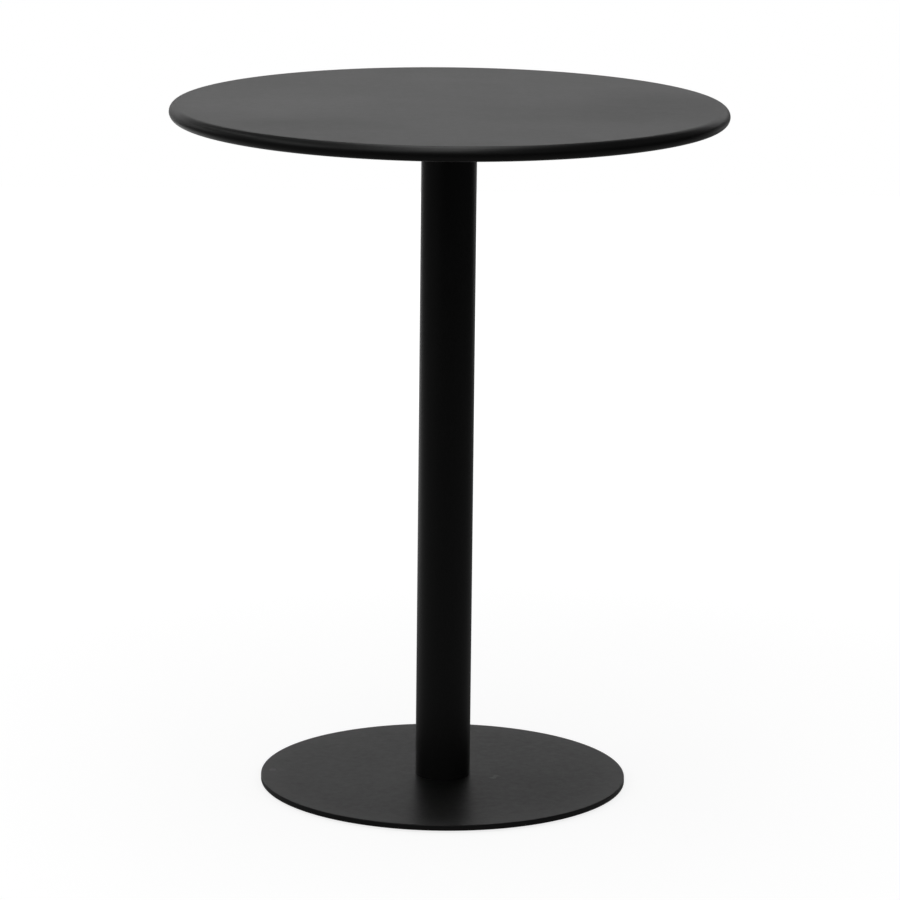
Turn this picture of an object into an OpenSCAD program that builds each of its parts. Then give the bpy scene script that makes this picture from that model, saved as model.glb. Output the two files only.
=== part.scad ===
// Bistro table: a pressed steel top on a round tube column and a flat disc base.
// Millimetres, +Z up, origin on the floor under the middle of the column.
// The top, the column and the base come apart: four bolts hold the top to the column's flange,
// and four countersunk screws hold the column to the base. The rest is welded.

/* [Table] */
// Height of the top surface above the floor
table_h = 750; // [600:10:1100]

/* [Tabletop] */
// Outer diameter of the tabletop
top_d = 600; // [500:10:800]
// Radius of the half-round rim, which is half of the rim's depth
rim_r = 8; // [8:0.5:12]
// Thickness of the sheet that the top is pressed from
sheet_t = 1.5; // [1:0.1:2]
// Width of the flat lip that the rim turns in underneath
lip_w = 7; // [4:1:15]

/* [Braces] */
// Width of the flat tubes that stiffen the top
brace_w = 25; // [20:1:40]
// Height of the brace tubes
brace_h = 10; // [10:0.5:12]
// Wall thickness of the brace tubes
brace_wall = 1.5; // [1:0.1:2]
// Free gap between a brace's end and the rim's lip
brace_gap = 25; // [15:1:60]

/* [Mounting plates] */
// Side of the square plate welded under the braces
mount_side = 170; // [150:5:200]
// Thickness of that plate
mount_t = 4; // [4:0.5:6]
// Side of the square flange welded on top of the column
flange_side = 150; // [140:5:170]
// Thickness of the flange
flange_t = 4; // [4:0.5:6]
// Spacing of the four bolts along X and along Y
bolt_spacing = 100; // [90:1:110]

/* [Column] */
// Outer diameter of the column tube
column_d = 60; // [57:1:76]
// Wall thickness of the column tube
column_wall = 2; // [1.5:0.5:3]
// Thickness of the disc welded into the foot of the column
foot_disc_t = 10; // [8:1:16]

/* [Base] */
// Diameter of the base plate
base_d = 400; // [350:10:550]
// Thickness of the base plate
base_t = 6; // [6:0.5:12]
// Radius that softens the base plate's upper edge
base_edge_r = 1; // [0.5:0.25:2]
// Number of glides under the base plate
glide_count = 4; // [3:1:6]
// Diameter of one glide
glide_d = 24; // [18:1:40]
// Thickness of the glides, which is the gap under the base plate
glide_t = 2; // [1.5:0.5:6]

/* [Fasteners] */
// Length of the hexagon bolts that hold the top, measured under their heads
bolt_l = 20; // [16:1:20]
// Overall length of the countersunk screws that hold the column to the base
screw_l = 16; // [12:1:16]

/* [Hidden] */
$fn = 96;
hex_sides = 6;
eps = 0.01;                     // how far a cutter runs past the face that it cuts
fit_gap = 0.05;                 // radial gap of a part in its hole

// Heights, from the floor up
base_z = glide_t;
base_top_z = base_z + base_t;
sheet_z = table_h - sheet_t;    // underside of the top's sheet
rim_z = table_h - 2 * rim_r;    // underside of the rim
brace_z = sheet_z - brace_h;
mount_z = brace_z - mount_t;
flange_z = mount_z - flange_t;

// Tabletop
rim_centre_r = top_d / 2 - rim_r;
lip_r = rim_centre_r - lip_w;

// Braces
brace_half_l = lip_r - brace_gap;
brace_corner_r = 1.5;
short_brace_l = brace_half_l - brace_w / 2;

// Column
column_r = column_d / 2;
bore_r = column_r - column_wall;
foot_disc_r = bore_r - 0.1;
foot_bevel = 3;                 // bevel on the foot disc that its weld fills
vent_d = 12;                    // vent in both end plates, for the coating line
plate_corner_r = 12;

// Welds
stitch_l = 20;                  // length of one stitch
stitch_leg = 3;
stitches = 4;                   // stitches along each side of each arm of the cross
stitch_first = 110;             // middle of the innermost stitch, from the column's axis
flange_leg = 4;

// Hexagon bolts with plain and spring washers under the flange, and nuts welded on the plate
thread_d = 8;
clearance_d = thread_d + 1;
head_flats = 13;                // across the flats of a bolt's head
head_h = 5.3;
nut_flats = 14;
nut_h = 6.5;
hex_chamfer = 0.3;              // how far the chamfer cuts in from the middle of a flat
washer_d = 16;
washer_bore_d = 8.4;
washer_t = 1.6;
spring_d = 14.8;
spring_t = 2;
spring_gap = 1.2;               // split in the spring washer
washer_z = flange_z - washer_t;
spring_z = washer_z - spring_t;

// Countersunk screws, up through the base plate
screw_circle_r = 18;
screw_start_angle = 45;
screws = 4;
csk_d = 16;                     // flush head, a 90 degree cone
socket_flats = 5;
socket_h = 2.5;

// Glides
glide_circle_r = base_d / 2 - 25;
glide_start_angle = 45;
stem_d = 6;
stem_h = 4;
stem_hole_h = 4.4;
glide_edge_r = 1;

// ---- shared shapes ----

// Places its children at the four corners of a square.
module at_corners(spacing) {
    for (x = [-1, 1], y = [-1, 1])
        translate([x * spacing / 2, y * spacing / 2, 0]) children();
}

// Places its children evenly on a circle, each turned with its place.
module on_circle(radius, count, start = 0) {
    for (i = [0:count - 1])
        rotate([0, 0, start + i * 360 / count]) translate([radius, 0, 0]) children();
}

// A flat rectangle with rounded corners.
module rounded_rectangle(size_x, size_y, corner_r) {
    square([size_x - 2 * corner_r, size_y], center = true);
    square([size_x, size_y - 2 * corner_r], center = true);
    for (x = [-1, 1], y = [-1, 1])
        translate([x * (size_x / 2 - corner_r), y * (size_y / 2 - corner_r)]) circle(corner_r);
}

// A hexagonal prism, measured across its flats.
module hexagon(across_flats, height) {
    cylinder(r = across_flats / sqrt(3), h = height, $fn = hex_sides);
}

// A hexagon whose corners a cone cuts back at its lower end, as on a bolt's head.
module chamfered_hexagon(across_flats, height) {
    cone_r = across_flats / 2 - hex_chamfer;
    intersection() {
        hexagon(across_flats, height);
        cylinder(r1 = cone_r, r2 = cone_r + 2 * height, h = height);
    }
}

// A flat tube along +X that starts at the origin.
module flat_tube(length) {
    rotate([90, 0, 90]) linear_extrude(length) difference() {
        rounded_rectangle(brace_w, brace_h, brace_corner_r);
        square([brace_w - 2 * brace_wall, brace_h - 2 * brace_wall], center = true);
    }
}

// A straight fillet weld along X, centred on the origin. It fills the corner between a wall
// on its -Y side and a ceiling above it.
module fillet_weld(length, leg) {
    rotate([90, 0, 90]) translate([0, 0, -length / 2])
        linear_extrude(length) polygon([[0, 0], [leg, 0], [0, -leg]]);
}

// ---- tabletop and its stiffening ----

// The half-round outline of the tabletop at a distance inside its outer face.
module rim_outline(inset) {
    height = 2 * (rim_r - inset);
    translate([0, rim_z + inset]) square([rim_centre_r, height]);
    translate([rim_centre_r, rim_z + rim_r]) circle(rim_r - inset);
}

// A sheet whose rim rolls down and back in, to a flat lip with a rounded edge.
module tabletop() {
    color("#232324") rotate_extrude() {
        difference() {
            rim_outline(0);
            rim_outline(sheet_t);
            translate([0, rim_z - eps]) square([lip_r, sheet_t + 2 * eps]);
        }
        translate([lip_r, rim_z + sheet_t / 2]) circle(sheet_t / 2);
    }
}

module brace_long() {
    color("#1c1c1d") translate([-brace_half_l, 0, brace_z + brace_h / 2])
        flat_tube(2 * brace_half_l);
}

// One arm of the cross, butted against the side of the long brace.
module brace_short(angle) {
    color("#1c1c1d") rotate([0, 0, angle])
        translate([brace_w / 2, 0, brace_z + brace_h / 2]) flat_tube(short_brace_l);
}

// Stitches between the braces' sides and the sheet above them.
module brace_welds() {
    pitch = (brace_half_l - stitch_l / 2 - stitch_first) / (stitches - 1);
    color("#1c1c1d") for (angle = [0:90:270], side = [0, 1], i = [0:stitches - 1])
        rotate([0, 0, angle]) mirror([0, side, 0])
            translate([stitch_first + i * pitch, brace_w / 2, sheet_z])
                fillet_weld(stitch_l, stitch_leg);
}

module mount_plate() {
    color("#1c1c1d") translate([0, 0, mount_z]) difference() {
        linear_extrude(mount_t) rounded_rectangle(mount_side, mount_side, plate_corner_r);
        at_corners(bolt_spacing) translate([0, 0, -eps])
            cylinder(d = clearance_d, h = mount_t + 2 * eps);
    }
}

// Stitches between the plate's four edges and the braces above them.
module mount_plate_welds() {
    color("#1c1c1d") for (angle = [0:90:270])
        rotate([0, 0, angle]) translate([mount_side / 2, 0, brace_z]) rotate([0, 0, -90])
            fillet_weld(stitch_l, stitch_leg);
}

// ---- bolts between the top and the column ----

// Four nuts on top of the mounting plate, between the braces.
module weld_nuts() {
    color("#1c1c1d") at_corners(bolt_spacing) translate([0, 0, brace_z + nut_h]) mirror([0, 0, 1])
        difference() {
            chamfered_hexagon(nut_flats, nut_h);
            translate([0, 0, -eps]) cylinder(d = thread_d, h = nut_h + 2 * eps);
        }
}

module flange_bolts() {
    color("#b9bcc0") at_corners(bolt_spacing) {
        translate([0, 0, spring_z - head_h]) chamfered_hexagon(head_flats, head_h);
        translate([0, 0, spring_z - eps])
            cylinder(d = thread_d - 2 * fit_gap, h = bolt_l + eps);
    }
}

module washer(outer_d, thickness) {
    difference() {
        cylinder(d = outer_d, h = thickness);
        translate([0, 0, -eps]) cylinder(d = washer_bore_d, h = thickness + 2 * eps);
    }
}

module flange_washers() {
    color("#b9bcc0") at_corners(bolt_spacing) translate([0, 0, washer_z])
        washer(washer_d, washer_t);
}

module spring_washers() {
    color("#a9acb0") at_corners(bolt_spacing) translate([0, 0, spring_z]) difference() {
        washer(spring_d, spring_t);
        rotate([0, 30, 0]) translate([0, -spring_gap / 2, -spring_t])
            cube([spring_d, spring_gap, 4 * spring_t]);
    }
}

// ---- column ----

module column_flange() {
    color("#1c1c1d") translate([0, 0, flange_z]) difference() {
        linear_extrude(flange_t) rounded_rectangle(flange_side, flange_side, plate_corner_r);
        at_corners(bolt_spacing) translate([0, 0, -eps])
            cylinder(d = clearance_d, h = flange_t + 2 * eps);
        translate([0, 0, -eps]) cylinder(d = vent_d, h = flange_t + 2 * eps);
    }
}

module flange_weld() {
    color("#1c1c1d") rotate_extrude()
        polygon([[column_r, flange_z], [column_r + flange_leg, flange_z],
                 [column_r, flange_z - flange_leg]]);
}

module column_tube() {
    length = flange_z - base_top_z;
    color("#202021") translate([0, 0, base_top_z]) difference() {
        cylinder(r = column_r, h = length);
        translate([0, 0, -eps]) cylinder(r = bore_r, h = length + 2 * eps);
    }
}

module foot_disc() {
    color("#1c1c1d") translate([0, 0, base_top_z]) difference() {
        union() {
            cylinder(r1 = foot_disc_r - foot_bevel, r2 = foot_disc_r, h = foot_bevel);
            translate([0, 0, foot_bevel]) cylinder(r = foot_disc_r, h = foot_disc_t - foot_bevel);
        }
        on_circle(screw_circle_r, screws, screw_start_angle) translate([0, 0, -eps])
            cylinder(d = thread_d, h = foot_disc_t + 2 * eps);
        translate([0, 0, -eps]) cylinder(d = vent_d, h = foot_disc_t + 2 * eps);
    }
}

// Fills the foot disc's bevel, flush with the end of the tube.
module foot_weld() {
    color("#1c1c1d") rotate_extrude() translate([0, base_top_z])
        polygon([[foot_disc_r - foot_bevel, 0], [bore_r, 0],
                 [bore_r, foot_bevel], [foot_disc_r, foot_bevel]]);
}

// ---- base ----

// A cone and shank for a countersunk screw, from its flush head upwards.
module countersunk(shank_d, head_d, length) {
    cone_h = (head_d - shank_d) / 2;
    cylinder(d1 = head_d, d2 = shank_d, h = cone_h);
    translate([0, 0, cone_h - eps]) cylinder(d = shank_d, h = length - cone_h + eps);
}

module base_plate() {
    plate_r = base_d / 2;
    color("#2b2b2c") difference() {
        rotate_extrude() translate([0, base_z]) {
            square([plate_r - base_edge_r, base_t]);
            square([plate_r, base_t - base_edge_r]);
            translate([plate_r - base_edge_r, base_t - base_edge_r]) circle(base_edge_r);
        }
        on_circle(screw_circle_r, screws, screw_start_angle) translate([0, 0, base_z - eps])
            countersunk(clearance_d, csk_d + 2 * fit_gap, base_t + 2 * eps);
        on_circle(glide_circle_r, glide_count, glide_start_angle) translate([0, 0, base_z - eps])
            cylinder(d = stem_d, h = stem_hole_h + eps);
    }
}

module base_screws() {
    color("#3a3a3c") on_circle(screw_circle_r, screws, screw_start_angle)
        translate([0, 0, base_z]) difference() {
            countersunk(thread_d - 2 * fit_gap, csk_d, screw_l);
            translate([0, 0, -eps]) hexagon(socket_flats, socket_h + eps);
        }
}

// One nylon glide: a disc with a softened lower edge, and a stem pressed into the base plate.
module glide(index) {
    angle = glide_start_angle + (index - 1) * 360 / glide_count;
    glide_r = glide_d / 2;
    color("#1a1a1a") rotate([0, 0, angle]) translate([glide_circle_r, 0, 0]) rotate_extrude() {
        translate([0, glide_edge_r]) square([glide_r, glide_t - glide_edge_r]);
        square([glide_r - glide_edge_r, glide_t]);
        intersection() {
            translate([glide_r - glide_edge_r, glide_edge_r]) circle(glide_edge_r);
            square([glide_r, glide_t]);
        }
        square([stem_d / 2 - fit_gap, glide_t + stem_h]);
    }
}

// ---- nodes ----

tabletop();
brace_long();
brace_short(-90);  // brace_front
brace_short(90);  // brace_back
brace_welds();
mount_plate();
mount_plate_welds();
weld_nuts();
flange_bolts();
flange_washers();
spring_washers();
column_flange();
flange_weld();
column_tube();
foot_disc();
foot_weld();
base_plate();
base_screws();
for (i = [1:glide_count])
    glide(i);
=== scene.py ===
"""Looks of a round bistro table: a rolled steel top, a tube column and a disc base, in black.

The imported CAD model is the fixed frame. Every size comes from its nodes, or is a named value of
the class that uses it, in metres. Pieces are shaped with modelling operators and dressed with
procedural finishes, and the camera stands where the photograph's camera stood.
"""

import logging
import math
from dataclasses import dataclass, field
from enum import Enum
from functools import cached_property
from typing import Callable, Iterable, Sequence

import bmesh
import bpy
from mathutils import Matrix, Vector
from mathutils.bvhtree import BVHTree


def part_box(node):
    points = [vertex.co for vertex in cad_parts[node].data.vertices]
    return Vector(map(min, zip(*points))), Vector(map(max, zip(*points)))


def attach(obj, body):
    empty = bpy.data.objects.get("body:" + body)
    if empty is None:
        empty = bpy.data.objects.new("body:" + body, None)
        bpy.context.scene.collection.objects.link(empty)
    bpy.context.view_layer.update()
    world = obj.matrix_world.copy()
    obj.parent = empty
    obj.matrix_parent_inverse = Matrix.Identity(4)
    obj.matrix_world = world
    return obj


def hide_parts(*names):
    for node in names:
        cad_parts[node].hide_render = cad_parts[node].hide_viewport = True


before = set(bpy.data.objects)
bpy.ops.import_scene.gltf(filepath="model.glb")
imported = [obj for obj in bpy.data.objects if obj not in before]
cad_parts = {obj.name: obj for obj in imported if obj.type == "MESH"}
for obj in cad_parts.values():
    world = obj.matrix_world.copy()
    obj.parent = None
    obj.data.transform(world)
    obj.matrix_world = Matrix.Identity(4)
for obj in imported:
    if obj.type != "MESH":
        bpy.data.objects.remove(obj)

LOG = logging.getLogger("bistro_table")

Piece = bpy.types.Object
Finish = bpy.types.Material
Socket = bpy.types.NodeSocket
Colour = tuple[float, float, float, float]
Value = Socket | Colour | float
Ramp = tuple[float, float, float, float]    # where it starts and ends, and its value at both

MM = 0.001
TINY = 0.01 * MM                # two places nearer than this are the same place
STRAIGHT = 0.9999               # a face looks along an axis if its normal is this far along it
NEAR = 0.1 * MM                 # how far off its radius a corner of a round piece may lie
HEXAGON = 6                     # sides of a bolt's head and of a screw's socket
IMAGE_SIDE = 900                # the photograph and the render are square
BODY = "root"                   # the one body of a table without joints


# ---- the camera and its points


@dataclass(frozen=True)
class ImagePoint:
    """A place in the photograph, in its pixels from the upper left corner."""

    name: str
    x: float
    y: float


OBJECT_LEFT = ImagePoint("object_left", 169.6, 112.5)
OBJECT_RIGHT = ImagePoint("object_right", 729.3, 118.0)
OBJECT_TOP = ImagePoint("object_top", 440.0, 67.0)
OBJECT_BOTTOM = ImagePoint("object_bottom", 443.0, 830.4)
RIM_FRONT = ImagePoint("rim_front", 446.0, 161.4)
COLUMN_LEFT = ImagePoint("column_left", 418.7, 440.0)
COLUMN_RIGHT = ImagePoint("column_right", 472.3, 440.0)
COLUMN_FOOT = ImagePoint("column_foot", 443.0, 779.0)
BASE_LEFT = ImagePoint("base_left", 261.5, 776.0)
BASE_RIGHT = ImagePoint("base_right", 622.4, 780.0)
SCUFF_DASH = ImagePoint("scuff_dash", 272.5, 769.6)
SCUFF_CURL = ImagePoint("scuff_curl", 494.5, 776.8)
BLOOM_LEFT = ImagePoint("bloom_left", 275.0, 103.0)
BLOOM_BACK = ImagePoint("bloom_back", 455.0, 78.0)
SMEAR_FRONT = ImagePoint("smear_front", 300.0, 125.0)
SMEAR_RIGHT = ImagePoint("smear_right", 672.0, 108.0)
SMEAR_MIDDLE = ImagePoint("smear_middle", 550.0, 114.0)
# where a lighter patch of painted sheen, standing in for reflected light, lies on the base
PAINTED_SHEEN_LEFT = ImagePoint("painted_sheen_left", 318.0, 752.0)
DULL_RIGHT = ImagePoint("dull_right", 515.0, 790.0)
ROW_REACH = 20.0                # pixels above and below a point within which a side is looked for


@dataclass(frozen=True)
class StudioCamera:
    """The photograph's viewpoint, settled by the outlines of the top, the column and the base."""

    distance: float = 5.0337    # level, from the column's axis
    height: float = 1.4795      # above the floor
    pitch: float = math.radians(12.408)
    yaw: float = math.radians(0.049)
    roll: float = math.radians(0.630)
    lens: float = 189.90        # millimetres, on the sensor below
    sensor: float = 36.0
    near: float = 0.1
    far: float = 100.0

    def place(self) -> Vector:
        """Where the camera stands."""
        return Vector((0.0, -self.distance, self.height))

    def axes(self) -> Matrix:
        """The camera's right, up and backward directions.

        Returns:
            A rotation whose columns are those three directions.
        """
        ahead = Vector((
            math.sin(self.yaw) * math.cos(self.pitch),
            math.cos(self.yaw) * math.cos(self.pitch),
            -math.sin(self.pitch),
        ))
        level = ahead.cross(Vector((0.0, 0.0, 1.0))).normalized()
        upright = level.cross(ahead)
        right = math.cos(self.roll) * level + math.sin(self.roll) * upright
        up = math.cos(self.roll) * upright - math.sin(self.roll) * level
        return Matrix((right, up, -ahead)).transposed()

    def build(self) -> None:
        """Makes the camera and gives it to the scene."""
        data = bpy.data.cameras.new("studio_camera")
        data.sensor_fit = "AUTO"
        data.sensor_width = self.sensor
        data.lens = self.lens
        data.clip_start = self.near
        data.clip_end = self.far
        camera = bpy.data.objects.new("studio_camera", data)
        camera.matrix_world = Matrix.Translation(self.place()) @ self.axes().to_4x4()
        bpy.context.scene.collection.objects.link(camera)
        bpy.context.scene.camera = camera

    def ray(self, point: ImagePoint) -> Vector:
        """The direction in which the camera sees an image point.

        Args:
            point: The place in the image.

        Returns:
            A direction of length 1 in the table's frame.
        """
        half = IMAGE_SIDE / 2
        seen = Vector((point.x - half, half - point.y, -IMAGE_SIDE * self.lens / self.sensor))
        return (self.axes() @ seen).normalized()

    def project(self, place: Vector) -> tuple[float, float]:
        """Where a place in the table's frame shows in the image.

        Args:
            place: The place, in metres.

        Returns:
            Its x and y in pixels.
        """
        seen = self.axes().transposed() @ (place - self.place())
        scale = IMAGE_SIDE * self.lens / self.sensor / -seen.z
        return IMAGE_SIDE / 2 + seen.x * scale, IMAGE_SIDE / 2 - seen.y * scale

    def land(self, point: ImagePoint, carrier: Piece) -> Vector:
        """Finds the place on a surface that shows at an image point.

        Args:
            point: The place in the image.
            carrier: The finished piece that carries what is placed.

        Returns:
            The place on the carrier, or the place nearest the ray if the ray misses it.
        """
        tree = tree_of([carrier])
        direction = self.ray(point)
        hit = tree.ray_cast(self.place(), direction)[0]
        if hit is not None:
            return hit
        reach = (carrier.matrix_world.translation - self.place()).length
        return tree.find_nearest(self.place() + direction * reach)[0]


def tree_of(pieces: Iterable[Piece]) -> BVHTree:
    """Joins the faces of some pieces in one search tree.

    Args:
        pieces: Finished pieces, whose objects sit at the origin.

    Returns:
        The tree, in the table's frame.
    """
    corners: list[Vector] = []
    faces: list[list[int]] = []
    for piece in pieces:
        start = len(corners)
        corners.extend(vertex.co.copy() for vertex in piece.data.vertices)
        faces.extend([start + i for i in polygon.vertices] for polygon in piece.data.polygons)
    return BVHTree.FromPolygons(corners, faces)


# ---- modelling by operators


class Level(Enum):
    """What a selection in edit mode holds."""

    VERT = "VERT"
    EDGE = "EDGE"
    FACE = "FACE"


class Crease(Enum):
    """The angle, in degrees, over which an edge stays crisp."""

    TURNED = 30.0
    ROLLED = 35.0
    PRESSED = 40.0
    WELDED = 60.0


def put_tools_down() -> None:
    """Leaves edit mode and leaves nothing selected."""
    if bpy.context.object is not None and bpy.context.object.mode != "OBJECT":
        bpy.ops.object.mode_set(mode="OBJECT")
    bpy.ops.object.select_all(action="DESELECT")


class Workpiece:
    """One mesh on the bench, shaped by operators on what is selected by place."""

    def __init__(self, name: str) -> None:
        """Takes up the primitive that was added last.

        Args:
            name: The piece's name.
        """
        self.obj = bpy.context.object
        self.obj.name = name
        self.obj.data.name = name
        bpy.ops.object.transform_apply(location=True, rotation=True, scale=True)

    @classmethod
    def cone(
        cls,
        name: str,
        low_r: float,
        high_r: float,
        low_z: float,
        high_z: float,
        sides: int,
        filled: bool = True,
    ) -> "Workpiece":
        """Starts from an upright cone on the column's axis.

        Args:
            name: The piece's name.
            low_r: Radius of the corners at its lower end.
            high_r: Radius of the corners at its upper end.
            low_z: Height of its lower end.
            high_z: Height of its upper end.
            sides: Number of sides.
            filled: Whether the ends are closed.

        Returns:
            The new workpiece.
        """
        put_tools_down()
        bpy.ops.mesh.primitive_cone_add(
            vertices=sides,
            radius1=low_r,
            radius2=high_r,
            depth=high_z - low_z,
            end_fill_type="NGON" if filled else "NOTHING",
            location=(0.0, 0.0, (low_z + high_z) / 2),
        )
        return cls(name)

    @classmethod
    def cylinder(
        cls, name: str, radius: float, low_z: float, high_z: float, sides: int, filled: bool = True
    ) -> "Workpiece":
        """Starts from an upright cylinder, which is a cone of one width."""
        return cls.cone(name, radius, radius, low_z, high_z, sides, filled)

    @classmethod
    def block(cls, name: str, low: Vector, high: Vector) -> "Workpiece":
        """Starts from a block between two corners.

        Args:
            name: The piece's name.
            low: Its lowest corner.
            high: Its highest corner.

        Returns:
            The new workpiece.
        """
        put_tools_down()
        bpy.ops.mesh.primitive_cube_add(size=1.0, location=(low + high) / 2, scale=high - low)
        return cls(name)

    def select(self, level: Level, test: Callable[..., bool]) -> "Workpiece":
        """Selects the elements that pass a test, and nothing else.

        Args:
            level: The kind of element.
            test: Takes one bmesh element and says whether to select it.

        Returns:
            The workpiece itself.
        """
        bpy.ops.object.mode_set(mode="EDIT")
        bpy.ops.mesh.select_mode(type=level.value)
        bpy.ops.mesh.select_all(action="DESELECT")
        mesh = bmesh.from_edit_mesh(self.obj.data)
        elements = {Level.VERT: mesh.verts, Level.EDGE: mesh.edges, Level.FACE: mesh.faces}[level]
        for element in elements:
            if test(element):
                element.select_set(True)
        bmesh.update_edit_mesh(self.obj.data)
        return self

    def select_along(self, axis: int, shortest: float) -> "Workpiece":
        """Selects the edges that run along an axis for more than a length.

        Args:
            axis: 0, 1 or 2 for X, Y or Z.
            shortest: The length that they are longer than.

        Returns:
            The workpiece itself.
        """
        return self.select(
            Level.EDGE,
            lambda edge: abs(edge.verts[0].co[axis] - edge.verts[1].co[axis]) > shortest,
        )

    def select_ring(self, height: float, radius: float | None = None) -> "Workpiece":
        """Selects level edges.

        Args:
            height: Their height above the floor.
            radius: Their distance from the column's axis, where that matters.

        Returns:
            The workpiece itself.
        """

        def on_ring(edge: bmesh.types.BMEdge) -> bool:
            """Whether both ends lie on the ring."""
            return all(
                abs(v.co.z - height) < TINY
                and (radius is None or abs(v.co.xy.length - radius) < NEAR)
                for v in edge.verts
            )

        return self.select(Level.EDGE, on_ring)

    def select_cap(self, facing: float) -> "Workpiece":
        """Selects the level face that the column's axis goes through.

        Args:
            facing: 1 for the face that looks up, -1 for the one that looks down.

        Returns:
            The workpiece itself.
        """

        def is_cap(face: bmesh.types.BMFace) -> bool:
            """Whether a face is the cap."""
            level = face.normal.z * facing > STRAIGHT
            return level and face.calc_center_median().xy.length < 2 * NEAR

        return self.select(Level.FACE, is_cap)

    def bevel(self, width: float, steps: int) -> "Workpiece":
        """Rounds the selected edges, so far along each face and in so many steps.

        Args:
            width: How far the rounding reaches along each face.
            steps: How many faces it has across.

        Returns:
            The workpiece itself.
        """
        bpy.ops.mesh.bevel(
            offset_type="OFFSET", offset=width, segments=steps, affect="EDGES", clamp_overlap=True
        )
        return self

    def inset(self, *widths: float) -> "Workpiece":
        """Insets the selected face once for each width, from the outside in.

        Args:
            widths: The widths of the rings.

        Returns:
            The workpiece itself.
        """
        for width in widths:
            bpy.ops.mesh.inset(thickness=width, depth=0.0)
        return self

    def move(self, z: float) -> "Workpiece":
        """Moves what is selected straight up or down."""
        bpy.ops.transform.translate(value=(0.0, 0.0, z))
        return self

    def extrude(self, z: float) -> "Workpiece":
        """Extrudes what is selected straight up or down."""
        bpy.ops.mesh.extrude_region_move(TRANSFORM_OT_translate={"value": (0.0, 0.0, z)})
        return self

    def scale(self, factor: float, centre: Vector) -> "Workpiece":
        """Resizes what is selected about a centre."""
        bpy.ops.transform.resize(value=(factor, factor, factor), center_override=centre)
        return self

    def delete_faces(self) -> "Workpiece":
        """Deletes the selected faces."""
        bpy.ops.mesh.delete(type="FACE")
        return self

    def merge(self) -> "Workpiece":
        """Merges vertices that share a place, all over the mesh.

        Returns:
            The workpiece itself.
        """
        bpy.ops.object.mode_set(mode="EDIT")
        bpy.ops.mesh.select_all(action="SELECT")
        bpy.ops.mesh.remove_doubles(threshold=TINY)
        return self

    def face_outwards(self) -> "Workpiece":
        """Turns every face outwards.

        Returns:
            The workpiece itself.
        """
        bpy.ops.object.mode_set(mode="EDIT")
        bpy.ops.mesh.select_all(action="SELECT")
        bpy.ops.mesh.normals_make_consistent(inside=False)
        return self

    def apply(self, kind: str, **settings: object) -> "Workpiece":
        """Adds a modifier and applies it.

        Args:
            kind: The modifier's type.
            settings: Its settings.

        Returns:
            The workpiece itself.
        """
        put_tools_down()
        self.obj.select_set(True)
        bpy.context.view_layer.objects.active = self.obj
        modifier = self.obj.modifiers.new(kind.lower(), kind)
        for name, value in settings.items():
            setattr(modifier, name, value)
        bpy.ops.object.modifier_apply(modifier=modifier.name)
        return self

    def wall(self, thickness: float) -> "Workpiece":
        """Gives an open shell a wall inside its present faces."""
        return self.apply("SOLIDIFY", thickness=thickness, offset=-1.0, use_even_offset=True)

    def repeat(self, places: Sequence[Matrix]) -> "Workpiece":
        """Copies the piece to several places, and goes on with all the copies as one mesh."""
        self.obj = lay_out(self.obj, places, self.obj.name)
        return self

    def cut(self, cutter: "Workpiece", keep_common: bool = False) -> "Workpiece":
        """Cuts the piece with another one, which is used up.

        Args:
            cutter: The cutting shape.
            keep_common: Keeps what both share instead of what the cutter leaves.

        Returns:
            The workpiece itself.
        """
        operation = "INTERSECT" if keep_common else "DIFFERENCE"
        self.apply("BOOLEAN", operation=operation, object=cutter.obj, solver="EXACT")
        bpy.data.objects.remove(cutter.obj)
        return self

    def finish(self, crease: Crease) -> Piece:
        """Shades the piece smooth across shallow edges and puts it down.

        Args:
            crease: Which edges stay crisp.

        Returns:
            The finished object.
        """
        put_tools_down()
        self.obj.select_set(True)
        bpy.context.view_layer.objects.active = self.obj
        bpy.ops.object.shade_smooth_by_angle(angle=math.radians(crease.value))
        put_tools_down()
        return self.obj


def join(pieces: Sequence[Piece], name: str) -> Piece:
    """Joins two or more pieces in one mesh.

    Args:
        pieces: The pieces, of which the first takes up the others.
        name: The joined piece's name.

    Returns:
        The joined piece.
    """
    put_tools_down()
    for piece in pieces:
        piece.select_set(True)
    joined = pieces[0]
    bpy.context.view_layer.objects.active = joined
    bpy.ops.object.join()
    joined.name = name
    joined.data.name = name
    put_tools_down()
    return joined


def lay_out(template: Piece, places: Sequence[Matrix], name: str) -> Piece:
    """Copies a piece to several places and joins the copies.

    Args:
        template: The piece that is copied, which is used up.
        places: Where each copy goes.
        name: The joined piece's name.

    Returns:
        The joined piece, with its places in its mesh.
    """
    copies = []
    for place in places:
        copy = bpy.data.objects.new(name, template.data.copy())
        bpy.context.scene.collection.objects.link(copy)
        copy.data.transform(place)
        copies.append(copy)
    bpy.data.objects.remove(template)
    return join(copies, name)


def corner_places(half_spacing: float, turns: Sequence[float] = (0.0,) * 4) -> list[Matrix]:
    """The four corners of a square about the axis, each with a turn of its own.

    Args:
        half_spacing: Distance of the corners from both middle planes.
        turns: How far each copy is turned, in degrees.

    Returns:
        One transform for each corner.
    """
    corners = [(-1, -1), (1, -1), (1, 1), (-1, 1)]
    return [
        Matrix.Translation((x * half_spacing, y * half_spacing, 0.0))
        @ Matrix.Rotation(math.radians(turn), 4, "Z")
        for (x, y), turn in zip(corners, turns)
    ]


def round_radius(node: str) -> float:
    """The largest radius about the axis that stays inside a round node's box."""
    low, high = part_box(node)
    return min(-low.x, -low.y, high.x, high.y)


def corner_radius(flats: float) -> float:
    """Radius of a hexagon's corners, from its width across flats."""
    return flats / 2 / math.cos(math.pi / HEXAGON)


# ---- finishes


@dataclass(frozen=True)
class Pattern:
    """A noise pattern in the object's own space, from 0 to 1."""

    scale: float                # bumps per metre
    detail: float = 2.0         # how many finer layers it has
    rough: float = 0.6          # how strong those are


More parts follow.
